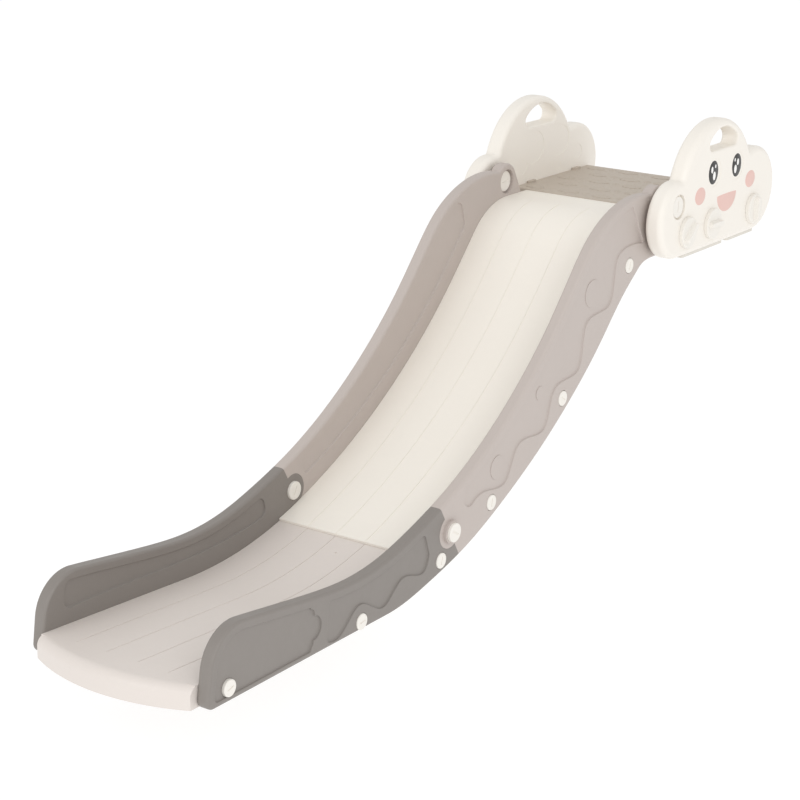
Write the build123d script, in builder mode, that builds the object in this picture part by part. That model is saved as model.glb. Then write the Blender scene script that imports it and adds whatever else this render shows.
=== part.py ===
from build123d import *
import os
from math import acos, atan2, cos, degrees, hypot, radians, sin

# Toddler slide for the edge of a sofa or a bed, in millimetres.
# +X is the slide's right side, +Y points up the chute to the platform and +Z is up.
# The origin is the middle of the platform's underside, which rests on the sofa or bed.

# ---------------------------------------------------------------- driving dimensions

# Platform and its clearance to the chute
platform_length = 288
platform_height = 79
platform_wall = 5
platform_rib = 3
platform_spine = 24           # flat strip down the middle of the underside
tail_gap = 3                  # between the deck's rear edge and the platform
deck_drop = 2                 # the deck lies this much below the platform's top

# Chute section
deck_width = 306
deck_clearance = 0.3          # each side, between the deck and a side board
board_thickness = 23
cloud_gap = 8                 # between a side board and a cloud handrail
cloud_thickness = 36

# Chute line, from the platform down to the front
level_length = 71
crest_radius = 151
steep_angle = 47.5
steep_length = 83
hollow_radius = 1222
joint_angle = 19.3
foot_radius = 763
runout_rise = 3.2             # degrees by which the run-out rises to the front
runout_length = 332
floor_depth = 22              # the deck's lowest point above the floor

# Side boards: height above the chute line and depth below it, by distance down the chute
crest_heights = [(130, 70), (180, 95), (240, 114), (300, 116), (420, 108), (600, 95), (840, 82),
                 (960, 78), (1060, 70), (1160, 65.5), (1260, 68), (1380, 77), (1500, 84)]
keel_depths = [(960, 28), (840, 33), (720, 34.5), (600, 37.5), (480, 41), (360, 44.5), (240, 51),
               (190, 60)]
floor_start = 1065            # the board leaves the floor here
nose_radius = 70
toe_radius = 14
board_edge = 5
bead = 15                     # rim left along the crest above the pressed panels
panel_depth = 3
panel_soft = 1.45             # rounding of a pressed panel's rim and foot
panel_round = 9
front_panel_start = 1270      # the lower board's front panel, by distance down the chute
front_panel_base = 9          # its lower edge above the floor

# Tilt pivot at the top of the chute, measured from the platform's front top edge
pivot_back = 74.5
pivot_rise = 26
pivot_lug = 34.5
tail_back = 54                # the board's tail, behind the pivot
tail_lean = 8
tail_height = 6
tilt_down = 5                 # degrees of tilt, for a low and for a high bed
tilt_up = 6
lock_radius = 63              # the tilt lock's distance from the pivot
lock_bearing = -57            # its direction from the pivot, in degrees

# Lap joint between the lower and the upper boards
joint_distance = 877.5
joint_height = 26.5
joint_lug = 29.5
joint_lean = 11
joint_play = 0.3
joint_boss = 7

# Decks
deck_joint = 929
deck_overlap = 34
skin = 4
skirt_wall = 8
lower_deck_depth = 20
upper_deck_depth = 30
skirt_start = 78
rib_spacing = 115
lip_depth = 26
lip_round = 16
lip_wall = 8
lip_overhang = 10             # how far the lip's ends stand in front of the boards
lip_bow = 36                  # how far the lip's middle stands in front of its ends
groove_places = (-91, -31, 31, 91)
groove_width = 1
groove_depth = 0.8
drain = 4                     # small hole behind the deck joint
drain_back = 41
floor_play = 1.5              # the lip stays this far above the floor

# Fasteners: caps with a coin slot
screw_places = [(1461, 17), (1137, 8), (915, 8), (755, 8), (497, 14), (203, 23)]
screw_cap = 27.5
screw_cap_height = 6
screw_seat = 4
screw_shank = 6
screw_length = 33
deck_boss = 18
deck_boss_length = 16
joint_cap = 33
joint_cap_height = 5
joint_sleeve = 12
joint_shank = 7
tilt_cap = 40
tilt_cap_height = 4.5
tilt_recess = 47
tilt_recess_depth = 6
tilt_nut_recess = 9
tilt_nut_height = 3.7
tilt_sleeve = 16
sleeve_grip = 14              # the nut's sleeve reaches this far into the cloud
tilt_shank = 8
slot_width = 2.2
slot_depth = 1.2
slip = 0.05                   # radial play of a shank in its bore
running = 0.08                # radial play of a turning fit
seat_gap = 0.3                # between a turning piece and the face beside it

# Cloud handrail: lobes as (y, z, radius), the flat foot and the hand hole
cloud_foot = 6
cloud_lobes = [(-211, 72), (98, 83)]          # front and rear lobes stand on the foot line
cloud_dome = (-62, 100, 147)
cloud_edge = 12
cloud_inner_edge = 10
hole_edge = 4
hole_centre = (-48, 190)
hole_length = 140
hole_height = 41
hole_round = 12
notch_round = 7
mark_depth = 0.6              # shallow ovals pressed in the faces, as (y, z, half width, half height)
outer_marks = [(-84, 148.5, 28, 27.5), (10, 148.5, 28, 27.5)]
inner_marks = [(-76, 148, 41, 33), (18, 149, 44, 32), (-118, 113, 22, 15), (95, 115, 20, 15)]
inner_smile = (-6, 101, 38, 36)
pad_width = 22
pad_spans = [(-176, -14), (8, 118)]

# Knobs
knob_disc = 58
knob_disc_height = 8
grip_length = 50
grip_width = 13
grip_height = 9
knob_shank = 16
lock_shank = 12
knob_height = 52
knob_places = {"front": -85, "rear": 88}
knob_reach = 30
knob_boss = 34
lock_nut_size = 22
lock_nut_height = 10
tab_length = 26
tab_width = 9
tab_height = 4
knob_turns = {"tilt_lock": 40, "front": 0, "rear": 90}

# ---------------------------------------------------------------- worked-out places

deck_half = deck_width / 2
board_outer = deck_half + board_thickness
cloud_inner = board_outer + cloud_gap
cloud_outer = cloud_inner + cloud_thickness
lap_plane = deck_half + board_thickness / 2
platform_front = -platform_length / 2
pivot = (platform_front - pivot_back, platform_height + pivot_rise)
deck_top = platform_height - deck_drop
lock = (pivot[0] + lock_radius * cos(radians(lock_bearing)),
        pivot[1] + lock_radius * sin(radians(lock_bearing)))

# The chute line as stretches: (start distance, length, y, z, slope in radians, bend radius).
# The bend radius is positive over the crest, negative in the hollow and 0 on a straight.
chute = []


def add_stretch(length, bend=0):
    """Append a stretch of the chute line where the last one ends."""
    if chute:
        start, run, y, z, slope, radius = chute[-1]
        (y, z), slope = along(chute[-1], run, 0), slope + (run / radius if radius else 0)
        chute.append((start + run, length, y, z, slope, bend))
    else:
        chute.append((0, length, platform_front - tail_gap, deck_top, 0, bend))


def along(stretch, run, height):
    """The point at a distance down one stretch, at a height square to the chute."""
    _, _, y, z, slope, radius = stretch
    if not radius:
        return (y - run * cos(slope) - height * sin(slope), z - run * sin(slope) + height * cos(slope))
    turned = slope + run / radius
    reach = radius + height
    return (y + radius * sin(slope) - reach * sin(turned), z - radius * cos(slope) + reach * cos(turned))


def stretch_at(distance):
    """The stretch of the chute that holds a distance."""
    return next((s for s in chute if distance <= s[0] + s[1]), chute[-1])


def at(distance, height=0):
    """(y, z) at a distance down the chute and a height above its line."""
    stretch = stretch_at(distance)
    return along(stretch, distance - stretch[0], height)


def slope_at(distance):
    """Downward slope of the chute in degrees."""
    start, _, _, _, slope, radius = stretch_at(distance)
    return degrees(slope + ((distance - start) / radius if radius else 0))


def blend(table, distance):
    """Value at a distance in a table of (distance, value), straight between its rows."""
    rows = sorted(table)
    for (a, low), (b, high) in zip(rows, rows[1:]):
        if a <= distance <= b:
            return low + (high - low) * (distance - a) / (b - a)
    return rows[0][1] if distance < rows[0][0] else rows[-1][1]


add_stretch(level_length)
add_stretch(crest_radius * radians(steep_angle), crest_radius)
add_stretch(steep_length)
add_stretch(hollow_radius * radians(steep_angle - joint_angle), -hollow_radius)
add_stretch(foot_radius * radians(joint_angle + runout_rise), -foot_radius)
add_stretch(runout_length)
chute_end = chute[-1][0] + chute[-1][1]
lowest = chute[4][0] + foot_radius * radians(joint_angle)
floor = at(lowest)[1] - floor_depth
front = at(chute_end)[0]
joint = at(joint_distance, joint_height)
joint_slope = slope_at(joint_distance)


# ---------------------------------------------------------------- shared shapes

def chute_edges(start, end, height):
    """Lines and arcs along the chute, at a height above its line."""
    for first, length, _, _, _, radius in chute:
        a, b = max(start, first), min(end, first + length)
        if b - a > 1e-6:
            if radius:
                ThreePointArc(at(a, height), at((a + b) / 2, height), at(b, height))
            else:
                Line(at(a, height), at(b, height))


def band(start, end, top, bottom, x=0):
    """Sketch of the band between two heights along a length of the chute."""
    with BuildSketch(Plane.YZ.offset(x)) as outline:
        with BuildLine():
            chute_edges(start, end, top)
            Line(at(end, top), at(end, bottom))
            chute_edges(start, end, bottom)
            Line(at(start, bottom), at(start, top))
        make_face()
    return outline.sketch


def spline_along(places):
    """Spline through (distance, height) places on the chute."""
    return Spline(*[at(distance, height) for distance, height in places])


def side_plane(x, place, turn=0):
    """Plane square to X at a (y, z) place, facing +X and turned about it."""
    across = (0, cos(radians(turn)), sin(radians(turn)))
    return Plane(origin=(x, place[0], place[1]), x_dir=across, z_dir=(1, 0, 0))


def board_outline():
    """Outline of a whole side board, lower and upper part together, on its inner face."""
    tail = (pivot[0] + tail_back, deck_top)
    heel = (pivot[0] + tail_back - tail_lean, tail_height)
    reach = hypot(tail[0] - pivot[0], tail[1] - pivot[1])
    turn = atan2(tail[1] - pivot[1], tail[0] - pivot[0]) + acos(pivot_lug / reach)
    lug_back = (pivot[0] + pivot_lug * cos(turn), pivot[1] + pivot_lug * sin(turn))
    lug_front = (pivot[0] - 0.72 * pivot_lug, pivot[1] + 0.66 * pivot_lug)
    crest = [at(distance, height) for distance, height in crest_heights]
    keel = [at(distance, -depth) for distance, depth in keel_depths]
    lift_off = (at(floor_start)[0], floor)
    keel_end = (pivot[0], tail_height)
    with BuildSketch(Plane.YZ.offset(deck_half)) as outline:
        with BuildLine():
            Spline(lug_front, *crest)
            Line(crest[-1], (front, floor))
            Line((front, floor), lift_off)
            Spline(lift_off, *keel, keel_end, tangents=((1, 0), (1, 0)))
            Line(keel_end, heel)
            Line(heel, tail)
            Line(tail, lug_back)
            Line(lug_back, lug_front)
        make_face()
        for corner, radius in ((crest[-1], nose_radius), ((front, floor), toe_radius)):
            fillet(outline.vertices().sort_by_distance(Vector(*corner))[0], radius)
        with Locations(pivot):
            Circle(pivot_lug)
    return outline.sketch


def lap_half(side, lug, x):
    """Half-plane on one side of the lap joint: side +1 up the chute, -1 down it.
    lug adds the round lug about the joint bolt, and a negative lug cuts its recess."""
    far = 4 * platform_length
    with BuildSketch(Plane.YZ.offset(x)) as half:
        with Locations(Location((joint[0], joint[1], 0), (0, 0, joint_slope + joint_lean))):
            Rectangle(2 * far, 2 * far, align=(Align.MIN if side > 0 else Align.MAX, Align.CENTER))
        with Locations(joint):
            Circle(abs(lug), mode=Mode.ADD if lug > 0 else Mode.SUBTRACT)
    return half.sketch


def lap_region(side):
    """Space that a lower or an upper board may fill, on the right side of the slide."""
    recess = joint_lug + joint_play
    inner_lug, outer_lug = (-recess, joint_lug) if side > 0 else (joint_lug, -recess)
    with BuildPart() as region:
        extrude(lap_half(side, inner_lug, deck_half), amount=board_thickness / 2)
        extrude(lap_half(side, outer_lug, lap_plane), amount=board_thickness / 2)
    return region.part


def panel(x, lower_edge, start, end, start_round=panel_round, end_round=panel_round):
    """Outline of a pressed panel between an edge given as (distance, height) places and the bead."""
    top = [(d, h - bead) for d, h in crest_heights if start < d < end]
    top = [(start, blend(crest_heights, start) - bead), *top, (end, blend(crest_heights, end) - bead)]
    with BuildSketch(Plane.YZ.offset(x)) as outline:
        with BuildLine():
            spline_along(top)
            Line(at(*top[-1]), at(*lower_edge[-1]))
            spline_along(lower_edge)
            Line(at(*lower_edge[0]), at(*top[0]))
        make_face()
        for corner, radius in ((top[0], start_round), (lower_edge[0], start_round),
                               (top[-1], end_round), (lower_edge[-1], end_round)):
            fillet(outline.vertices().sort_by_distance(Vector(*at(*corner)))[0], radius)
    return outline.sketch


def front_panel(x):
    """Outline of the lower board's front panel, with three round lobes along its rear edge."""
    rear = at(front_panel_start, blend(crest_heights, front_panel_start) - bead)
    middle = [at(d, h - bead) for d, h in crest_heights[:-1] if d > front_panel_start]
    last = at(crest_heights[-1][0], crest_heights[-1][1] - bead)
    nose, base = (last[0] + bead, last[1]), floor + front_panel_base
    toe, heel = (front + bead, base), (rear[0], base)
    with BuildSketch(Plane.YZ.offset(x)) as outline:
        with BuildLine():
            Spline(rear, *middle, nose)
            Polyline(nose, toe, heel, rear)
        make_face()
        for corner, radius in ((nose, nose_radius - bead), (toe, panel_round), (heel, 4), (rear, 4)):
            fillet(outline.vertices().sort_by_distance(Vector(*corner))[0], radius)
        for y, z, radius in front_lobes:
            with Locations((rear[0] + y, rear[1] + z)):
                Circle(radius)
    return outline.sketch


def soften(board, face_x, floor_x):
    """Round the foot and the rim of every panel pressed from face_x down to floor_x."""
    floors = [f for f in board.faces().filter_by(Axis.X) if abs(f.center().X - floor_x) < 0.01]
    fillet([edge for face in floors for edge in face.outer_wire().edges()], panel_soft)
    rims = [f for f in board.faces().filter_by(Axis.X) if abs(f.center().X - face_x) < 0.01]
    fillet([edge for face in rims for wire in face.inner_wires() for edge in wire.edges()], panel_soft)


def bore(x0, x1, place, diameter, turn=0):
    """Solid cylinder along X between two sides, to add or to cut."""
    with BuildPart() as core:
        with BuildSketch(side_plane(x0, place, turn)):
            Circle(diameter / 2)
        extrude(amount=x1 - x0)
    return core.part


def capped(x, place, turn, cap, height, shank, length, slotted=True):
    """Coin-slot cap standing out to +X from a seat at x, on a shank that reaches back."""
    with BuildPart() as piece:
        with BuildSketch(side_plane(x, place, turn)):
            Circle(cap / 2)
        extrude(amount=height)
        fillet(piece.faces().sort_by(Axis.X)[-1].edges(), min(2, height / 3))
        with BuildSketch(side_plane(x, place, turn)):
            Circle(shank / 2)
        extrude(amount=-length)
        if slotted:
            with BuildSketch(side_plane(x + height, place, turn)):
                SlotOverall(0.55 * cap, slot_width)
            extrude(amount=-slot_depth, mode=Mode.SUBTRACT)
    return piece.part


def left_of(piece):
    """The mirror image of a right-hand piece."""
    return mirror(piece, about=Plane.YZ)


def finish(piece, name):
    """Name a piece and write it."""
    piece.label = name
    export_step(piece, f"parts/{name}.step")


os.makedirs("parts", exist_ok=True)

# ---------------------------------------------------------------- side boards

screws = [at(distance, -depth) for distance, depth in screw_places]
lower_screws, upper_screws = screws[:3], screws[3:]
seat = board_outer - screw_seat

with BuildPart() as board_blank:
    extrude(board_outline(), amount=board_thickness)
    fillet(board_blank.faces().filter_by(Axis.X).edges(), board_edge)

# Pressed panels: a wavy lower edge on the outside and a straight band along the deck inside
outer_wave = [(130, -28), (172, 0), (212, 22), (288, -16), (358, 27), (430, -16), (504, 20), (566, -14),
              (642, 24), (704, -6), (764, 24), (822, 18)]
lower_wave = [(942, 22), (966, 0), (1020, 20), (1078, -6), (1140, 22), (1192, -15), (1226, -15)]
inner_band = [(205, 36), (300, 33), (600, 33), (838, 33)]
lower_band = [(958, 26), (1100, 30), (1250, 27), (1462, 20)]
front_lobes = [(-2, -14, 11), (6, -36, 20), (-6, -57, 12)]    # (y, z, radius) from the panel's rear corner
discs = [((309, 50), 25), ((541, 51), 12.5), ((711, 34), 21)]

# The lock knob's shank runs in an arc about the pivot, and the board turns past it
lock_arc = CenterArc(pivot, lock_radius, lock_bearing - tilt_up - 1, tilt_up + tilt_down + 2)

with BuildPart() as upper_board_right:
    add(board_blank.part)
    extrude(panel(board_outer, outer_wave, 140, 822, 4, 18), amount=-panel_depth, mode=Mode.SUBTRACT)
    extrude(panel(deck_half, inner_band, 185, 838, 14, 9), amount=panel_depth, mode=Mode.SUBTRACT)
    soften(upper_board_right, board_outer, board_outer - panel_depth)
    soften(upper_board_right, deck_half, deck_half + panel_depth)
    for place, radius in discs:
        with BuildSketch(side_plane(board_outer - panel_depth, at(*place))):
            Circle(radius)
        extrude(amount=panel_depth / 3)
    add(lap_region(1), mode=Mode.INTERSECT)
    add(bore(lap_plane, board_outer + joint_boss, joint, joint_cap + 7))
    fillet(upper_board_right.faces().filter_by(GeomType.PLANE).sort_by(Axis.X)[-1].edges(), 1.2)
    add(bore(deck_half - 1, board_outer + joint_boss + 1, joint, joint_sleeve + 2 * slip), mode=Mode.SUBTRACT)
    add(bore(deck_half - 1, deck_half + tilt_nut_recess, pivot, tilt_recess), mode=Mode.SUBTRACT)
    add(bore(deck_half, board_outer + 1, pivot, tilt_sleeve + 2 * running), mode=Mode.SUBTRACT)
    for place in upper_screws:
        add(bore(seat, board_outer + 1, place, screw_cap + 1.6), mode=Mode.SUBTRACT)
        add(bore(deck_half - 1, seat + 1, place, screw_shank + 2 * slip), mode=Mode.SUBTRACT)
    with BuildSketch(Plane.YZ.offset(deck_half - 1)):
        SlotArc(lock_arc, lock_shank + 2 * running)
    extrude(amount=board_thickness + 2, mode=Mode.SUBTRACT)

with BuildPart() as lower_board_right:
    add(board_blank.part)
    extrude(panel(board_outer, lower_wave, 945, 1226), amount=-panel_depth, mode=Mode.SUBTRACT)
    extrude(front_panel(board_outer), amount=-panel_depth, mode=Mode.SUBTRACT)
    extrude(panel(deck_half, lower_band, 958, 1462, 14, 14), amount=panel_depth, mode=Mode.SUBTRACT)
    soften(lower_board_right, board_outer, board_outer - panel_depth)
    soften(lower_board_right, deck_half, deck_half + panel_depth)
    add(lap_region(-1), mode=Mode.INTERSECT)
    add(bore(deck_half - 1, board_outer, joint, joint_sleeve + 2 * slip), mode=Mode.SUBTRACT)
    for place in lower_screws:
        add(bore(seat, board_outer + 1, place, screw_cap + 1.6), mode=Mode.SUBTRACT)
        add(bore(deck_half - 1, seat + 1, place, screw_shank + 2 * slip), mode=Mode.SUBTRACT)

# ---------------------------------------------------------------- decks

deck_side = deck_half - deck_clearance


def ribs(start, end, depth):
    """Cross ribs under a deck, joined to the deck being built."""
    count = max(1, round((end - start) / rib_spacing))
    for i in range(count + 1):
        place = start + (end - start - platform_rib) * i / count
        extrude(band(place, place + platform_rib, -skin, -depth), amount=deck_side - 1, both=True)


def skirts(start, end, top, depth):
    """Side walls under a deck, joined to the deck being built."""
    wall = band(start, end, top, -depth)
    extrude(wall, amount=deck_side, both=True)
    extrude(wall, amount=deck_side - skirt_wall, both=True, mode=Mode.SUBTRACT)


def screw_bosses(places, top):
    """Bosses in the deck's sides that hold the board screws, kept below the deck's top."""
    for side in (-1, 1):
        for place in places:
            add(bore(side * deck_side, side * (deck_side - deck_boss_length), place, deck_boss))
    extrude(band(tail_gap, chute_end, top + deck_boss, top), amount=deck_side, both=True, mode=Mode.SUBTRACT)
    for side in (-1, 1):
        for place in places:
            add(bore(side * (deck_side + 1), side * (deck_side - deck_boss_length - 1), place,
                     screw_shank + 2 * slip), mode=Mode.SUBTRACT)


def grooves(start, end, top):
    """Fine lines pressed along the top of a deck."""
    for x in groove_places:
        line = band(start, end, top + 1, top - groove_depth, x)
        extrude(line, amount=groove_width / 2, both=True, mode=Mode.SUBTRACT)


with BuildPart() as upper_deck:
    skirts(skirt_start, deck_joint - deck_overlap - 1, -skin / 2, upper_deck_depth)
    ribs(skirt_start, deck_joint - deck_overlap - 1, upper_deck_depth - 6)
    extrude(band(tail_gap, tail_gap + skin, -skin / 2, -2.5 * skin), amount=deck_side - 30, both=True)
    extrude(band(0, deck_joint, 0, -skin), amount=deck_side, both=True)
    screw_bosses(upper_screws, 0)
    grooves(level_length, deck_joint, 0)

# The lower deck's front lip: bowed in plan, rounded over the top and hollow behind its front wall
lower_top = -skin - seat_gap
lip_back = chute_end - lip_depth
lip_front = front - lip_overhang
with BuildPart() as lip_block:
    with BuildSketch(Plane.YZ) as lip_side:
        with BuildLine():
            Polyline(at(lip_back, lower_top), at(chute_end + lip_depth + lip_bow, lower_top),
                     (at(chute_end + lip_depth + lip_bow)[0], floor + floor_play),
                     (at(lip_back)[0], floor + floor_play), close=True)
        make_face()
    extrude(amount=deck_side, both=True)
    with BuildSketch(Plane.XY.offset(floor)) as lip_plan:
        with BuildLine():
            ThreePointArc((-deck_side, lip_front), (0, lip_front - lip_bow), (deck_side, lip_front))
            Polyline((deck_side, lip_front), (deck_side, 0), (-deck_side, 0), (-deck_side, lip_front))
        make_face()
    extrude(amount=deck_top - floor, mode=Mode.INTERSECT)
    fillet(lip_block.edges().sort_by(Axis.Y)[:4].sort_by(Axis.Z)[-1], lip_round)
    with BuildSketch(Plane.XY.offset(floor)):
        with BuildLine():
            ThreePointArc((lip_wall - deck_side, lip_front + lip_round), (0, lip_front + lip_round - lip_bow),
                          (deck_side - lip_wall, lip_front + lip_round))
            Polyline((deck_side - lip_wall, lip_front + lip_round), (deck_side - lip_wall, 0),
                     (lip_wall - deck_side, 0), (lip_wall - deck_side, lip_front + lip_round))
        make_face()
    extrude(amount=lower_deck_depth, mode=Mode.SUBTRACT)

with BuildPart() as lower_deck:
    skirts(deck_joint - deck_overlap, lip_back, lower_top - 1, lower_deck_depth)
    ribs(deck_joint, lip_back, lower_deck_depth - 2)
    extrude(band(deck_joint - deck_overlap, chute_end, lower_top, lower_top - skin), amount=deck_side,
            both=True)
    add(lip_block.part)
    screw_bosses(lower_screws, lower_top)
    grooves(deck_joint, chute_end - lip_depth / 2, lower_top)
    with BuildSketch(Plane.XY.offset(floor)):
        with Locations((0, at(deck_joint + drain_back)[0])):
            Circle(drain / 2)
    extrude(amount=deck_top - floor, mode=Mode.SUBTRACT)


# ---------------------------------------------------------------- platform

knobs = {"tilt_lock": lock, **{name: (y, knob_height) for name, y in knob_places.items()}}

with BuildPart() as platform:
    with BuildSketch():
        Rectangle(2 * cloud_inner, platform_length)
    extrude(amount=platform_height)
    fillet(platform.faces().sort_by(Axis.Z)[-1].edges().filter_by(Axis.X), 3)
    cell_width = (cloud_inner - platform_wall - platform_spine / 2 - platform_rib) / 2
    cell_length = (platform_length - 2 * platform_wall - 2 * platform_rib) / 3
    for side in (-1, 1):
        with BuildSketch():
            with Locations((side * (cloud_inner - platform_wall + platform_spine / 2) / 2, 0)):
                with GridLocations(cell_width + platform_rib, cell_length + platform_rib, 2, 3):
                    Rectangle(cell_width, cell_length)
        extrude(amount=platform_height - platform_wall, mode=Mode.SUBTRACT)
    for side in (-1, 1):
        for y in knob_places.values():
            add(bore(side * cloud_inner, side * (cloud_inner - knob_reach - 5), (y, knob_height), knob_boss))
            add(bore(side * (cloud_inner + 1), side * (cloud_inner - knob_reach - 1), (y, knob_height),
                     knob_shank + 2 * running), mode=Mode.SUBTRACT)
            with BuildSketch(Plane.XY.offset(platform_height)):
                with Locations((side * (cloud_inner - tab_width / 2), y)):
                    RectangleRounded(tab_width, tab_length, tab_width / 2 - 0.2)
            extrude(amount=tab_height)

# ---------------------------------------------------------------- cloud handrails

with BuildPart() as cloud_right:
    with BuildSketch(Plane.YZ.offset(cloud_inner)) as cloud_shape:
        for y, radius in cloud_lobes:
            with Locations((y, cloud_foot + radius)):
                Circle(radius)
        with Locations(cloud_dome[:2]):
            Circle(cloud_dome[2])
        with Locations((cloud_lobes[0][0], cloud_foot)):
            Rectangle(cloud_lobes[1][0] - cloud_lobes[0][0], cloud_dome[1], align=(Align.MIN, Align.MIN))
        with BuildSketch(mode=Mode.INTERSECT):
            with Locations((0, cloud_foot)):
                Rectangle(4 * platform_length, 2 * platform_length, align=(Align.CENTER, Align.MIN))
        notches = cloud_shape.vertices().filter_by(lambda v: v.Y > cloud_foot + 1.4 * cloud_lobes[1][1])
        fillet(notches, notch_round)
        with BuildSketch(mode=Mode.SUBTRACT) as hand_hole:
            with BuildLine():
                y, z = hole_centre
                Line((y - hole_length / 2, z), (y + hole_length / 2, z))
                ThreePointArc((y + hole_length / 2, z), (y, z + hole_height), (y - hole_length / 2, z))
            make_face()
            fillet(hand_hole.vertices(), hole_round)
    extrude(amount=cloud_thickness)
    outer_face = cloud_right.faces().filter_by(Axis.X).sort_by(Axis.X)[-1]
    inner_face = cloud_right.faces().filter_by(Axis.X).sort_by(Axis.X)[0]
    hole_edges = outer_face.inner_wires()[0].edges() + inner_face.inner_wires()[0].edges()
    fillet(outer_face.outer_wire().edges(), cloud_edge)
    fillet(inner_face.outer_wire().edges(), cloud_inner_edge)
    fillet(hole_edges, hole_edge)
    for x, depth, marks in ((cloud_outer, -mark_depth, outer_marks), (cloud_inner, mark_depth, inner_marks)):
        for y, z, half_width, half_height in marks:
            with BuildSketch(Plane.YZ.offset(x)):
                with Locations((y, z)):
                    Ellipse(half_width, half_height)
            extrude(amount=depth, mode=Mode.SUBTRACT)
    with BuildSketch(Plane.YZ.offset(cloud_inner)):
        y, z, half_width, drop = inner_smile
        with Locations((y, z)):
            Ellipse(half_width, drop)
            Rectangle(2 * half_width, drop, align=(Align.CENTER, Align.MAX), mode=Mode.INTERSECT)
    extrude(amount=mark_depth, mode=Mode.SUBTRACT)
    add(bore(cloud_outer - tilt_recess_depth, cloud_outer + 1, pivot, tilt_recess), mode=Mode.SUBTRACT)
    add(bore(cloud_inner - 1, cloud_inner + sleeve_grip + 1, pivot, tilt_sleeve + 2 * slip), mode=Mode.SUBTRACT)
    add(bore(cloud_inner, cloud_outer, pivot, tilt_shank + 2 * slip), mode=Mode.SUBTRACT)
    for name, place in knobs.items():
        shank = lock_shank if name == "tilt_lock" else knob_shank
        add(bore(cloud_inner - 1, cloud_outer + 1, place, shank + 2 * running), mode=Mode.SUBTRACT)

with BuildPart() as grip_pads_right:
    for start, end in pad_spans:
        with BuildSketch(Plane.XY):
            with Locations(((cloud_inner + cloud_outer) / 2 - 3, (start + end) / 2)):
                RectangleRounded(pad_width, end - start, 4)
    extrude(amount=cloud_foot)

# ---------------------------------------------------------------- fasteners

with BuildPart() as lower_screws_right:
    for place, turn in zip(lower_screws, (15, 5, 70)):
        add(capped(seat, place, turn, screw_cap, screw_cap_height, screw_shank, screw_length))

with BuildPart() as upper_screws_right:
    for place, turn in zip(upper_screws, (80, -35, 75)):
        add(capped(seat, place, turn, screw_cap, screw_cap_height, screw_shank, screw_length))

boss_face = board_outer + joint_boss
with BuildPart() as section_bolt_right:
    add(capped(boss_face, joint, -30, joint_cap, joint_cap_height, joint_shank, boss_face - deck_half - 3))

with BuildPart() as section_nut_right:
    nut = capped(-deck_half, joint, 60, joint_cap, joint_cap_height, joint_sleeve, boss_face - deck_half - 1)
    mirror(nut, about=Plane.YZ)
    add(bore(deck_half + 2, boss_face, joint, joint_shank + 2 * slip), mode=Mode.SUBTRACT)

tilt_seat = cloud_outer - tilt_recess_depth
with BuildPart() as tilt_bolt_right:
    add(capped(tilt_seat, pivot, 90, tilt_cap, tilt_cap_height, tilt_shank, tilt_seat - deck_half - 15))

nut_seat = deck_half + tilt_nut_recess - seat_gap
with BuildPart() as tilt_nut_right:
    nut = capped(-nut_seat, pivot, 10, tilt_cap, tilt_nut_height, tilt_sleeve,
                 cloud_inner + sleeve_grip - nut_seat)
    mirror(nut, about=Plane.YZ)
    add(bore(deck_half + 14, cloud_outer, pivot, tilt_shank + 2 * slip), mode=Mode.SUBTRACT)

with BuildPart() as tilt_lock_nut_right:
    with BuildSketch(side_plane(deck_half - seat_gap, lock)):
        RegularPolygon(lock_nut_size / 2, 6, major_radius=False)
        Circle(lock_shank / 2 + running, mode=Mode.SUBTRACT)
    extrude(amount=-lock_nut_height)


# ---------------------------------------------------------------- knobs

def knob(place, turn, shank, reach):
    """Knob disc with a boat-shaped grip, on a shank that reaches in through the cloud."""
    face = cloud_outer + seat_gap
    with BuildPart() as piece:
        with BuildSketch(side_plane(face, place, turn)):
            Circle(knob_disc / 2)
        extrude(amount=knob_disc_height)
        fillet(piece.faces().sort_by(Axis.X)[-1].edges(), 2)
        with BuildSketch(side_plane(face + knob_disc_height - 1, place, turn)):
            SlotOverall(grip_length, grip_width)
        extrude(amount=grip_height + 1, taper=12)
        fillet(piece.faces().filter_by(GeomType.PLANE).sort_by(Axis.X)[-1].edges(), 1.2)
        add(bore(face, cloud_inner - reach, place, shank))
    return piece.part


lock_reach = cloud_inner - deck_half + lock_nut_height + 2
right_knobs = {}
for name, place in knobs.items():
    right_knobs[name] = knob(place, knob_turns[name], lock_shank if name == "tilt_lock" else knob_shank,
                             lock_reach if name == "tilt_lock" else knob_reach)

# ---------------------------------------------------------------- write every piece

finish(platform.part, "platform")
finish(upper_deck.part, "upper_deck")
finish(lower_deck.part, "lower_deck")
pairs = {"upper_board": upper_board_right, "lower_board": lower_board_right, "cloud": cloud_right,
         "grip_pads": grip_pads_right, "lower_screws": lower_screws_right,
         "upper_screws": upper_screws_right, "section_bolt": section_bolt_right,
         "section_nut": section_nut_right, "tilt_bolt": tilt_bolt_right, "tilt_nut": tilt_nut_right,
         "tilt_lock_nut": tilt_lock_nut_right}
for name, piece in pairs.items():
    finish(piece.part, f"{name}_right")
    finish(left_of(piece.part), f"{name}_left")
for name, piece in right_knobs.items():
    finish(piece, f"{name}_knob_right")
    finish(left_of(piece), f"{name}_knob_left")
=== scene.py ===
"""Toddler slide: finishes, printed faces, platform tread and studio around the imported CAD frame."""

from math import cos, pi, radians, sin

import bpy
from bpy.props import FloatProperty, FloatVectorProperty, PointerProperty
from bpy.types import Operator, Panel, PropertyGroup
from mathutils import Matrix, Vector


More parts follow.
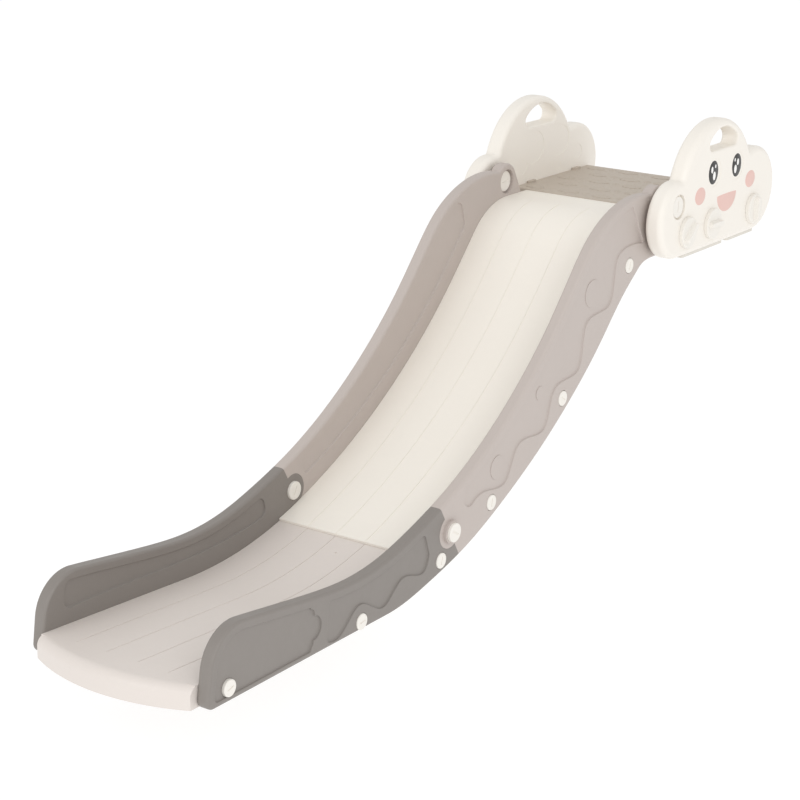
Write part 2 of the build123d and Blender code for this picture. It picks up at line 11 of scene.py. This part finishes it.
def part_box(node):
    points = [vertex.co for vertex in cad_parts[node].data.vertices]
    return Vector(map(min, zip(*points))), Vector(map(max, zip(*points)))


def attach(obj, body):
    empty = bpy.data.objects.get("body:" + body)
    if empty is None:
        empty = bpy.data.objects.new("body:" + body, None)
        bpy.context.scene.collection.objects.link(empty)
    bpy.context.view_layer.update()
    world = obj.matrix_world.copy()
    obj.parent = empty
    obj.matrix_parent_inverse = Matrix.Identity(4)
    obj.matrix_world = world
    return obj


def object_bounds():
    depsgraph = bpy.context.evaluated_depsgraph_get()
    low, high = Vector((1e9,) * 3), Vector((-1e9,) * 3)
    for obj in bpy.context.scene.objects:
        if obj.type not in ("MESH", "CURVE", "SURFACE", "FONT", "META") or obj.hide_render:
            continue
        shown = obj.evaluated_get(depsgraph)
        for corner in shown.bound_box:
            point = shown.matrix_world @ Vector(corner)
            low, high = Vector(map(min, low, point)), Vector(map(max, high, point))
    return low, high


bl_info = {
    "name": "Toddler slide",
    "version": (1, 0, 0),
    "blender": (4, 5, 0),
    "location": "View3D > Sidebar > Slide",
    "description": "Moulded finishes, printed faces, platform tread and studio of a toddler slide",
    "category": "Object",
}

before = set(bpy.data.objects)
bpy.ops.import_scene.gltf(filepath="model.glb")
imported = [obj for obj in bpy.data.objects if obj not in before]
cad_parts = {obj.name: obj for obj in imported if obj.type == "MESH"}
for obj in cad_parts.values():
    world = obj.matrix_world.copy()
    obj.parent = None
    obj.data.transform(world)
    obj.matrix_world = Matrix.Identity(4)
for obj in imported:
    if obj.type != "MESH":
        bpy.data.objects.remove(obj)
cad_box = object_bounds()

MM = 0.001
SIDES = (("right", 1), ("left", -1))

# Cloud handrails: the printed face, as (y, z, half width, half height) in millimetres
CLOUD_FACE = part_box("cloud_right")[1].x
EYES = ((-86, 149, 19, 22.5), (10, 149, 19, 22.5))
GLINTS = ((-82, 142, 5.2, 8.2), (-91.5, 154.5, 4, 6.4), (-78.5, 160, 2.4, 3.4),
          (5.5, 142, 5.2, 8.2), (14.5, 154.5, 4, 6.4), (2, 160, 2.4, 3.4))
CHEEKS = ((-136, 112, 20.5, 16.5), (71, 113, 20.5, 16.5))
MOUTH = (-26.5, 99, 39.5, 33)
EYE_POCKET = 0.6

# Platform tread: clouds as (x, y, radius) discs, and the places of the clouds and bubbles
PLATFORM_TOP = 0.079
CLOUD_DISCS = ((0, 0, 11), (-13, -2, 8), (13, -2, 9), (4, -5, 9), (-6, -5, 8))
TREAD_SPAN = (300, 236)
TREAD_STEP = (75, 59)
BESIDE_CLOUD = (("ring", 37, 4, 1.0), ("bubble", 37, 4, 0.7), ("bubble", 30, -13, 1.0),
                ("bubble", 45, -11, 0.6))
BEHIND_CLOUD = (("bubble", 9, 30, 0.8), ("bubble", -8, 26, 0.55))

# Studio floor: below the lowest reach of the chute, which tilts down past its own resting level
FLOOR_DROP = 0.138
FLOOR_GREY, FLOOR_GLOW, SKY_STRENGTH = 0.35, 0.74, 0.8

# Soft lights: name, azimuth and elevation in degrees, distance and size in metres, power in watts
LIGHTS = (("key_light", 50, 30, 5.0, 2.6, 44), ("front_light", -12, 25, 5.0, 2.6, 24))

# Camera: where it looks, how far it stands back, its lens and its turns
LOOK_AT = Vector((0.0, -0.7865, -0.166))
STAND_BACK = 3.5963
LENS = 94.26
AZIMUTH, ELEVATION, ROLL = radians(35.047), radians(17.48), radians(0.82)


def linear(*rgb):
    """A display colour, from 0 to 255, as the linear values that shaders take."""
    return tuple(c / 3294.6 if c <= 10.31 else ((c / 255 + 0.055) / 1.055) ** 2.4 for c in rgb)


# ---------------------------------------------------------------- what a user may change

def colour(name, words, *rgb):
    return FloatVectorProperty(name=name, description=words, subtype="COLOR", size=3, min=0, max=1,
                               default=linear(*rgb))


def length(name, words, millimetres):
    return FloatProperty(name=name, description=words, unit="LENGTH", subtype="DISTANCE", min=0,
                         precision=5, default=millimetres * MM)


class SlideColours(PropertyGroup):
    """Colours of the moulded parts and of the printed faces."""
    platform: colour("Platform", "Seat platform and its tread", 194, 183, 170)
    upper_deck: colour("Upper deck", "Upper sliding surface", 248, 243, 234)
    lower_deck: colour("Lower deck", "Lower sliding surface and lip", 225, 217, 211)
    upper_boards: colour("Upper boards", "Upper side boards", 194, 184, 178)
    lower_boards: colour("Lower boards", "Lower side boards", 137, 131, 126)
    clouds: colour("Clouds", "Cloud handrails", 245, 240, 232)
    caps: colour("Caps", "Screw caps, nuts and knobs", 241, 237, 230)
    pads: colour("Pads", "Grip pads under the handrails", 226, 222, 214)
    eyes: colour("Eyes", "Printed eyes", 44, 43, 42)
    glints: colour("Glints", "Light spots in the eyes", 252, 251, 249)
    blush: colour("Blush", "Printed cheeks and mouth", 233, 196, 187)


class SlideSizes(PropertyGroup):
    """Small sizes of the modelled details."""
    print_rise: length("Print rise", "How far the printed film stands proud", 0.12)
    tread_rise: length("Tread rise", "Height of the platform's raised clouds", 0.7)
    tread_rim: length("Tread rim", "Width of the rim of a raised cloud", 1.5)
    bubble: length("Bubble", "Radius of a small raised bubble", 3.0)
    ring: length("Ring", "Radius of a raised ring between the clouds", 7.0)


# ---------------------------------------------------------------- node groups

def add_node(tree, kind, place, **settings):
    """A node at a place in a tree. A setting goes to the socket of its name, or else to the node."""
    node = tree.nodes.new(kind)
    node.location = place
    for name, value in settings.items():
        socket = node.inputs.get(name.replace("_", " "))
        if socket is None:
            setattr(node, name, value)
        else:
            socket.default_value = value
    return node


def new_group(name, inputs, output, kind="NodeSocketFloat"):
    """An empty shader group: its tree, its input node and its output socket."""
    tree = bpy.data.node_groups.new(name, "ShaderNodeTree")
    for label, default in inputs.items():
        is_colour = isinstance(default, tuple)
        socket = tree.interface.new_socket(name=label, in_out="INPUT",
                                           socket_type="NodeSocketColor" if is_colour else "NodeSocketFloat")
        socket.default_value = default
    tree.interface.new_socket(name=output, in_out="OUTPUT", socket_type=kind)
    source = add_node(tree, "NodeGroupInput", (-900, 0))
    sink = add_node(tree, "NodeGroupOutput", (600, 0))
    return tree, source, sink.inputs[0]


def times(tree, place, first, second):
    """The product of two sockets."""
    node = add_node(tree, "ShaderNodeMath", place, operation="MULTIPLY")
    tree.links.new(first, node.inputs[0])
    tree.links.new(second, node.inputs[1])
    return node.outputs[0]


def plus(tree, place, first, second):
    """The sum of two sockets."""
    node = add_node(tree, "ShaderNodeMath", place, operation="ADD")
    tree.links.new(first, node.inputs[0])
    tree.links.new(second, node.inputs[1])
    return node.outputs[0]


def noise(tree, place, coordinates, scale, detail=2.0, roughness=0.5):
    """A noise texture on coordinates. Its scale is a number or a socket."""
    node = add_node(tree, "ShaderNodeTexNoise", place, Detail=detail, Roughness=roughness)
    tree.links.new(coordinates, node.inputs["Vector"])
    if isinstance(scale, (int, float)):
        node.inputs["Scale"].default_value = scale
    else:
        tree.links.new(scale, node.inputs["Scale"])
    return node.outputs["Fac"]


def mould_surface_group():
    """Height in millimetres: fine spark grain, its pits, and the slow waves of a blow-moulded wall."""
    tree, source, sink = new_group("Mould surface", {"Grain": 700.0, "Grain depth": 0.02,
                                                     "Wave depth": 0.2}, "Height")
    place = add_node(tree, "ShaderNodeTexCoord", (-900, -300)).outputs["Object"]
    fine = noise(tree, (-600, 200), place, source.outputs["Grain"], 3.0, 0.6)
    cells = add_node(tree, "ShaderNodeTexVoronoi", (-600, -60))
    tree.links.new(place, cells.inputs["Vector"])
    tree.links.new(source.outputs["Grain"], cells.inputs["Scale"])
    slow = noise(tree, (-600, -350), place, 7.0, 1.0, 0.4)
    grain = times(tree, (-200, 150), plus(tree, (-400, 100), fine, cells.outputs["Distance"]),
                  source.outputs["Grain depth"])
    wave = times(tree, (-200, -200), slow, source.outputs["Wave depth"])
    tree.links.new(plus(tree, (200, 0), grain, wave), sink)
    return tree


def tone_group():
    """A colour with the faint cloudiness of tinted polymer."""
    tree, source, sink = new_group("Polymer tone", {"Colour": (0.8, 0.8, 0.8, 1.0), "Mottle": 0.03},
                                   "Colour", "NodeSocketColor")
    place = add_node(tree, "ShaderNodeTexCoord", (-900, -300)).outputs["Object"]
    broad = noise(tree, (-600, 100), place, 9.0, 2.0)
    small = noise(tree, (-600, -200), place, 130.0, 3.0)
    centred = add_node(tree, "ShaderNodeMath", (-200, 0), operation="SUBTRACT")
    centred.inputs[1].default_value = 1.0
    tree.links.new(plus(tree, (-380, 0), broad, small), centred.inputs[0])
    swing = times(tree, (-20, 0), centred.outputs[0], source.outputs["Mottle"])
    factor = add_node(tree, "ShaderNodeMath", (150, 0), operation="ADD")
    factor.inputs[1].default_value = 1.0
    tree.links.new(swing, factor.inputs[0])
    scaled = add_node(tree, "ShaderNodeVectorMath", (350, 100), operation="SCALE")
    tree.links.new(source.outputs["Colour"], scaled.inputs[0])
    tree.links.new(factor.outputs[0], scaled.inputs["Scale"])
    tree.links.new(scaled.outputs[0], sink)
    return tree


def handling_group():
    """Roughness that varies as on a used surface. Across and along set how the marks stretch."""
    tree, source, sink = new_group("Handling marks", {"Roughness": 0.45, "Spread": 0.08, "Across": 40.0,
                                                      "Along": 40.0}, "Roughness")
    place = add_node(tree, "ShaderNodeTexCoord", (-900, -300)).outputs["Object"]
    stretch = add_node(tree, "ShaderNodeCombineXYZ", (-650, 100))
    for label, axis in (("Across", 0), ("Along", 1), ("Along", 2)):
        tree.links.new(source.outputs[label], stretch.inputs[axis])
    moved = add_node(tree, "ShaderNodeVectorMath", (-450, 0), operation="MULTIPLY")
    tree.links.new(place, moved.inputs[0])
    tree.links.new(stretch.outputs[0], moved.inputs[1])
    marks = noise(tree, (-250, 0), moved.outputs[0], 1.0, 4.0, 0.65)
    centred = add_node(tree, "ShaderNodeMath", (-60, 0), operation="SUBTRACT")
    centred.inputs[1].default_value = 0.5
    tree.links.new(marks, centred.inputs[0])
    swing = times(tree, (120, 0), centred.outputs[0], source.outputs["Spread"])
    tree.links.new(plus(tree, (320, 0), swing, source.outputs["Roughness"]), sink)
    return tree


def moulded(name, tint, roughness, grain=(700.0, 0.02), wave=0.15, mottle=0.03, spread=0.1,
            marks=(40.0, 40.0), specular=0.5, subsurface=0.0):
    """A moulded plastic: its colour, grain as (scale, depth in mm), wave depth, marks and gloss."""
    material = bpy.data.materials.new(name)
    material.use_nodes = True
    material.diffuse_color = (*tint, 1.0)
    tree = material.node_tree
    shader = tree.nodes["Principled BSDF"]
    shader.location = (300, 0)
    shader.inputs["Specular IOR Level"].default_value = specular
    if subsurface:
        shader.inputs["Subsurface Weight"].default_value = subsurface
        shader.inputs["Subsurface Scale"].default_value = 0.004
    tone = place_group(tree, "Polymer tone", (-300, 200), Colour=(*tint, 1.0), Mottle=mottle)
    tree.links.new(tone, shader.inputs["Base Color"])
    worn = place_group(tree, "Handling marks", (-300, -50), Roughness=roughness, Spread=spread,
                       Across=marks[0], Along=marks[1])
    tree.links.new(worn, shader.inputs["Roughness"])
    height = place_group(tree, "Mould surface", (-500, -300), Grain=grain[0], Grain_depth=grain[1],
                         Wave_depth=wave)
    bump = add_node(tree, "ShaderNodeBump", (-100, -300), Strength=1.0, Distance=MM)
    tree.links.new(height, bump.inputs["Height"])
    tree.links.new(bump.outputs["Normal"], shader.inputs["Normal"])
    return material


def place_group(tree, name, place, **values):
    """A shared group placed in a material, with its own values. Returns its output."""
    node = add_node(tree, "ShaderNodeGroup", place, node_tree=bpy.data.node_groups[name])
    for label, value in values.items():
        node.inputs[label.replace("_", " ")].default_value = value
    return node.outputs[0]


def paint(nodes, material):
    """Give CAD nodes a material."""
    for name in nodes:
        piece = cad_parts[name]
        if not piece.material_slots:
            piece.data.materials.append(material)
        for slot in piece.material_slots:
            slot.material = material


def both_sides(*names):
    """The right and left node of each name."""
    return [f"{name}_{side}" for name in names for side, _ in SIDES]


# ---------------------------------------------------------------- modelling by hand

def deselect():
    bpy.ops.object.select_all(action="DESELECT")


def only(*pieces):
    """Select these pieces alone, with the first active."""
    deselect()
    for piece in pieces:
        piece.select_set(True)
    bpy.context.view_layer.objects.active = pieces[0]


def pick_faces(piece, test):
    """Go into edit mode with the faces picked that pass a test."""
    only(piece)
    bpy.ops.object.mode_set(mode="EDIT")
    bpy.ops.mesh.select_mode(type="FACE")
    bpy.ops.mesh.select_all(action="DESELECT")
    bpy.ops.object.mode_set(mode="OBJECT")
    for face in piece.data.polygons:
        face.select = test(face)
    bpy.ops.object.mode_set(mode="EDIT")


def pick_points(piece, test):
    """Go into edit mode with the points picked that pass a test."""
    only(piece)
    bpy.ops.object.mode_set(mode="EDIT")
    bpy.ops.mesh.select_mode(type="VERT")
    bpy.ops.mesh.select_all(action="DESELECT")
    bpy.ops.object.mode_set(mode="OBJECT")
    for point in piece.data.vertices:
        point.select = test(point.co)
    bpy.ops.object.mode_set(mode="EDIT")


def leave():
    bpy.ops.object.mode_set(mode="OBJECT")


def oval_film(side, oval, floor, rise, points=56):
    """Printed oval film on a face that looks along X, with its rim thinned to the face."""
    y, z, half_width, half_height = (v * MM for v in oval)
    base = floor - 0.4 * MM
    deselect()
    bpy.ops.mesh.primitive_cylinder_add(vertices=points, radius=1, depth=1, rotation=(0, pi / 2, 0),
                                        location=(side * (floor + base) / 2, y, z))
    film = bpy.context.object
    film.scale = (half_height, half_width, floor - base)
    bpy.ops.object.transform_apply(location=True, rotation=True, scale=True)
    pick_faces(film, lambda face: face.normal.x * side > 0.9)
    bpy.ops.mesh.inset(thickness=0.3 * MM)
    bpy.ops.transform.translate(value=(side * rise, 0, 0))
    leave()
    return film


def join(name, pieces):
    """One piece from several, under a name."""
    only(*pieces)
    bpy.ops.object.join()
    piece = bpy.context.object
    piece.name = piece.data.name = name
    return piece


def settle(piece, body):
    """Smooth a finished piece, and give it to its body."""
    only(piece)
    bpy.ops.object.shade_smooth_by_angle(angle=radians(35))
    deselect()
    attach(piece, body)


def smile_film(side, mouth, rise):
    """Mouth film: an oval with its upper half drawn flat."""
    film = oval_film(side, mouth, CLOUD_FACE, rise, 64)
    line = mouth[1] * MM
    pick_points(film, lambda co: co.z > line)
    bpy.ops.transform.resize(value=(1, 1, 0.05), center_override=(0, 0, line))
    leave()
    return film


def tread_cloud(rise, rim):
    """Raised cloud of the tread: discs run together, with a rim around a lower middle."""
    discs = []
    for x, y, radius in CLOUD_DISCS:
        deselect()
        bpy.ops.mesh.primitive_cylinder_add(vertices=28, radius=radius * MM, depth=2 * rise,
                                            location=(x * MM, y * MM, PLATFORM_TOP))
        bpy.ops.object.transform_apply(location=True, rotation=True, scale=True)
        discs.append(bpy.context.object)
    cloud = discs[0]
    for disc in discs[1:]:
        only(cloud)
        union = cloud.modifiers.new("Union", "BOOLEAN")
        union.operation, union.solver, union.object = "UNION", "EXACT", disc
        bpy.ops.object.modifier_apply(modifier=union.name)
        only(disc)
        bpy.ops.object.delete()
    only(cloud)
    bpy.ops.object.mode_set(mode="EDIT")
    bpy.ops.mesh.select_all(action="SELECT")
    bpy.ops.mesh.remove_doubles(threshold=0.05 * MM)
    bpy.ops.mesh.dissolve_limited(angle_limit=radians(2))
    bpy.ops.object.mode_set(mode="OBJECT")
    pick_faces(cloud, lambda face: face.normal.z > 0.9)
    bpy.ops.mesh.inset(thickness=0.35 * rim)
    bpy.ops.transform.translate(value=(0, 0, 0.25 * rise))
    bpy.ops.mesh.inset(thickness=0.5 * rim)
    bpy.ops.mesh.inset(thickness=0.35 * rim)
    bpy.ops.transform.translate(value=(0, 0, -0.8 * rise))
    leave()
    return cloud


def tread_bubble(radius, rise):
    """Small raised bubble of the tread: a low dome."""
    deselect()
    bpy.ops.mesh.primitive_uv_sphere_add(segments=16, ring_count=8, radius=1, location=(0, 0, PLATFORM_TOP))
    dome = bpy.context.object
    dome.scale = (radius, radius, rise)
    bpy.ops.object.transform_apply(location=True, rotation=True, scale=True)
    only(dome)
    bpy.ops.object.mode_set(mode="EDIT")
    bpy.ops.mesh.select_all(action="SELECT")
    bpy.ops.mesh.bisect(plane_co=(0, 0, PLATFORM_TOP - 0.3 * MM), plane_no=(0, 0, 1), clear_inner=True,
                        use_fill=True)
    leave()
    return dome


def tread_ring(radius, rise):
    """Raised ring of the tread: a low torus."""
    deselect()
    bpy.ops.mesh.primitive_torus_add(major_segments=32, minor_segments=8, major_radius=radius,
                                     minor_radius=0.8 * MM, location=(0, 0, PLATFORM_TOP))
    ring = bpy.context.object
    ring.scale = (1, 1, rise / (0.8 * MM))
    bpy.ops.object.transform_apply(location=True, rotation=True, scale=True)
    return ring


def copy_to(piece, x, y, turn=0.0, size=1.0):
    """A copy of a tread piece with its own mesh, turned and sized about its middle and moved."""
    only(piece)
    bpy.ops.object.duplicate(linked=False)
    copy = bpy.context.object
    copy.matrix_world = Matrix.Translation((x, y, 0)) @ Matrix.Rotation(turn, 4, "Z") @ Matrix.Diagonal(
        (size, size, 1, 1))
    bpy.ops.object.transform_apply(location=True, rotation=True, scale=True)
    return copy


# ---------------------------------------------------------------- operators, one for each group of pieces

class SLIDE_OT_boards(Operator):
    """Give the side boards their matt moulded finish."""
    bl_idname = "slide.boards"
    bl_label = "Finish side boards"

    def execute(self, context):
        colours = context.scene.slide_colours
        light = moulded("board_light_taupe", colours.upper_boards, 0.5, (620.0, 0.05), 0.22, 0.035, 0.14)
        dark = moulded("board_dark_taupe", colours.lower_boards, 0.46, (620.0, 0.05), 0.22, 0.05, 0.16)
        paint(both_sides("upper_board"), light)
        paint(both_sides("lower_board"), dark)
        return {"FINISHED"}


class SLIDE_OT_decks(Operator):
    """Give the decks their smooth satin finish, with faint marks along the run."""
    bl_idname = "slide.decks"
    bl_label = "Finish decks"

    def execute(self, context):
        colours = context.scene.slide_colours
        ivory = moulded("deck_ivory", colours.upper_deck, 0.36, (900.0, 0.008), 0.12, 0.02, 0.2, (260.0, 5.0))
        grey = moulded("deck_warm_grey", colours.lower_deck, 0.4, (900.0, 0.01), 0.12, 0.03, 0.22,
                       (260.0, 5.0))
        paint(["upper_deck"], ivory)
        paint(["lower_deck"], grey)
        return {"FINISHED"}


class SLIDE_OT_platform(Operator):
    """Give the platform its matt grain and its raised tread of clouds, rings and bubbles."""
    bl_idname = "slide.platform"
    bl_label = "Finish platform and tread"

    def execute(self, context):
        colours, sizes = context.scene.slide_colours, context.scene.slide_sizes
        taupe = moulded("platform_taupe", colours.platform, 0.52, (520.0, 0.07), 0.15, 0.05, 0.16)
        paint(["platform"], taupe)
        cloud = tread_cloud(sizes.tread_rise, sizes.tread_rim)
        bubble = tread_bubble(sizes.bubble, sizes.tread_rise)
        ring = tread_ring(sizes.ring, 0.8 * sizes.tread_rise)
        shapes = {"ring": ring, "bubble": bubble}
        parts = []
        rows, columns = int(TREAD_SPAN[1] / TREAD_STEP[1]) + 1, int(TREAD_SPAN[0] / TREAD_STEP[0]) + 1
        for row in range(rows):
            y = (row * TREAD_STEP[1] - TREAD_SPAN[1] / 2) * MM
            for column in range(columns - row % 2):
                x = ((column + 0.5 * (row % 2)) * TREAD_STEP[0] - TREAD_SPAN[0] / 2) * MM
                parts.append(copy_to(cloud, x, y, pi * ((row + column) % 2), 0.95 + 0.1 * (column % 2)))
                around = BESIDE_CLOUD if column < columns - row % 2 - 1 else ()
                around += BEHIND_CLOUD if row < rows - 1 else ()
                for shape, right, back, size in around:
                    parts.append(copy_to(shapes[shape], x + right * MM, y + back * MM, 0, size))
        for made in (cloud, bubble, ring):
            only(made)
            bpy.ops.object.delete()
        tread = join("platform_tread", parts)
        tread.data.materials.append(taupe)
        settle(tread, "seat")
        return {"FINISHED"}


class SLIDE_OT_clouds(Operator):
    """Give the cloud handrails and their grip pads their finishes."""
    bl_idname = "slide.clouds"
    bl_label = "Finish cloud handrails"

    def execute(self, context):
        colours = context.scene.slide_colours
        white = moulded("cloud_white", colours.clouds, 0.42, (800.0, 0.012), 0.3, 0.012, 0.14)
        rubber = moulded("pad_rubber", colours.pads, 0.72, (900.0, 0.05), 0.05, 0.04, 0.1)
        paint(both_sides("cloud"), white)
        paint(both_sides("grip_pads"), rubber)
        return {"FINISHED"}


class SLIDE_OT_printed_faces(Operator):
    """Print a plain smiling face on the outside of each cloud handrail."""
    bl_idname = "slide.printed_faces"
    bl_label = "Add printed faces"

    def execute(self, context):
        colours, rise = context.scene.slide_colours, context.scene.slide_sizes.print_rise
        black = moulded("print_black", colours.eyes, 0.38, (900.0, 0.006), 0.05, 0.08, 0.1)
        glint = moulded("print_white", colours.glints, 0.35, (900.0, 0.006), 0.05, 0.01, 0.1)
        pink = moulded("print_pink", colours.blush, 0.42, (900.0, 0.006), 0.05, 0.03, 0.1)
        pocket = CLOUD_FACE - EYE_POCKET * MM
        for side, sign in SIDES:
            films = []
            for ovals, floor, material in ((EYES, pocket, black), (GLINTS, pocket + rise, glint),
                                           (CHEEKS, CLOUD_FACE, pink)):
                for oval in ovals:
                    films.append(oval_film(sign, oval, floor, rise))
                    films[-1].data.materials.append(material)
            films.append(smile_film(sign, MOUTH, rise))
            films[-1].data.materials.append(pink)
            settle(join(f"printed_face_{side}", films), "seat")
        return {"FINISHED"}


class SLIDE_OT_caps(Operator):
    """Give the screws, bolts, nuts and knobs their satin white finish."""
    bl_idname = "slide.caps"
    bl_label = "Finish caps and knobs"

    def execute(self, context):
        tint = context.scene.slide_colours.caps
        cap = moulded("cap_white", tint, 0.4, (900.0, 0.01), 0.06, 0.02, 0.14)
        knob = moulded("knob_white", tint, 0.44, (800.0, 0.02), 0.1, 0.02, 0.14)
        paint(both_sides("lower_screws", "upper_screws", "section_bolt", "section_nut", "tilt_bolt",
                         "tilt_nut", "tilt_lock_nut"), cap)
        paint(both_sides("tilt_lock_knob", "front_knob", "rear_knob"), knob)
        return {"FINISHED"}


class SLIDE_OT_stage(Operator):
    """Set the pale floor, the soft lights and the camera."""
    bl_idname = "slide.stage"
    bl_label = "Set stage"

    def execute(self, context):
        scene = context.scene
        scene.view_settings.view_transform = "Standard"
        deselect()
        bpy.ops.mesh.primitive_circle_add(vertices=64, radius=60, fill_type="NGON",
                                          location=(0, LOOK_AT.y, cad_box[0].z - FLOOR_DROP))
        floor = context.object
        floor.name = "studio_floor"
        floor.data.materials.append(floor_material())
        world = bpy.data.worlds.new("studio")
        world.use_nodes = True
        sky = world.node_tree.nodes["Background"]
        sky.inputs["Color"].default_value = (1, 0.995, 0.985, 1)
        sky.inputs["Strength"].default_value = SKY_STRENGTH
        scene.world = world
        for light in LIGHTS:
            soft_light(*light)
        back = Vector((sin(AZIMUTH) * cos(ELEVATION), -cos(AZIMUTH) * cos(ELEVATION), sin(ELEVATION)))
        across = (-back).cross(Vector((0, 0, 1))).normalized()
        above = across.cross(-back)
        across, above = (across * cos(ROLL) + above * sin(ROLL), above * cos(ROLL) - across * sin(ROLL))
        bpy.ops.object.camera_add()
        camera = context.object
        camera.name = "studio_camera"
        turn = Matrix((across, above, back)).transposed().to_4x4()
        camera.matrix_world = Matrix.Translation(LOOK_AT + STAND_BACK * back) @ turn
        camera.data.lens = LENS
        camera.data.sensor_width = 36
        scene.camera = camera
        return {"FINISHED"}


def floor_material():
    """Bright studio floor that takes only a trace of shadow."""
    material = bpy.data.materials.new("studio_white")
    material.use_nodes = True
    shader = material.node_tree.nodes["Principled BSDF"]
    shader.inputs["Base Color"].default_value = (FLOOR_GREY, FLOOR_GREY, FLOOR_GREY, 1)
    shader.inputs["Roughness"].default_value = 0.9
    shader.inputs["Specular IOR Level"].default_value = 0.0
    shader.inputs["Emission Color"].default_value = (1, 1, 1, 1)
    shader.inputs["Emission Strength"].default_value = FLOOR_GLOW
    return material


def soft_light(name, azimuth, elevation, distance, size, power):
    """Large soft light that stands round the slide and looks at its middle."""
    a, e = radians(azimuth), radians(elevation)
    away = Vector((sin(a) * cos(e), -cos(a) * cos(e), sin(e)))
    deselect()
    bpy.ops.object.light_add(type="AREA", location=LOOK_AT + distance * away,
                             rotation=away.to_track_quat("Z", "Y").to_euler())
    light = bpy.context.object
    light.name = name
    light.data.shape, light.data.size, light.data.energy = "DISK", size, power


class SLIDE_PT_panel(Panel):
    """The slide's pieces, colours and sizes."""
    bl_idname = "SLIDE_PT_panel"
    bl_label = "Toddler slide"
    bl_space_type = "VIEW_3D"
    bl_region_type = "UI"
    bl_category = "Slide"

    def draw(self, context):
        column = self.layout.column()
        for operator in OPERATORS:
            column.operator(operator.bl_idname)
        for group in (context.scene.slide_colours, context.scene.slide_sizes):
            box = self.layout.box()
            for name in group.__annotations__:
                box.prop(group, name)


OPERATORS = (SLIDE_OT_stage, SLIDE_OT_boards, SLIDE_OT_decks, SLIDE_OT_platform, SLIDE_OT_clouds,
             SLIDE_OT_printed_faces, SLIDE_OT_caps)
CLASSES = (SlideColours, SlideSizes, *OPERATORS, SLIDE_PT_panel)


def register():
    for entry in CLASSES:
        bpy.utils.register_class(entry)
    bpy.types.Scene.slide_colours = PointerProperty(type=SlideColours)
    bpy.types.Scene.slide_sizes = PointerProperty(type=SlideSizes)


def unregister():
    del bpy.types.Scene.slide_sizes
    del bpy.types.Scene.slide_colours
    for entry in reversed(CLASSES):
        bpy.utils.unregister_class(entry)


def main():
    """Build the looks in order."""
    register()
    for build in (mould_surface_group, tone_group, handling_group):
        build()
    bpy.ops.slide.stage()
    bpy.ops.slide.boards()
    bpy.ops.slide.decks()
    bpy.ops.slide.platform()
    bpy.ops.slide.clouds()
    bpy.ops.slide.printed_faces()
    bpy.ops.slide.caps()


if __name__ == "__main__":
    main()
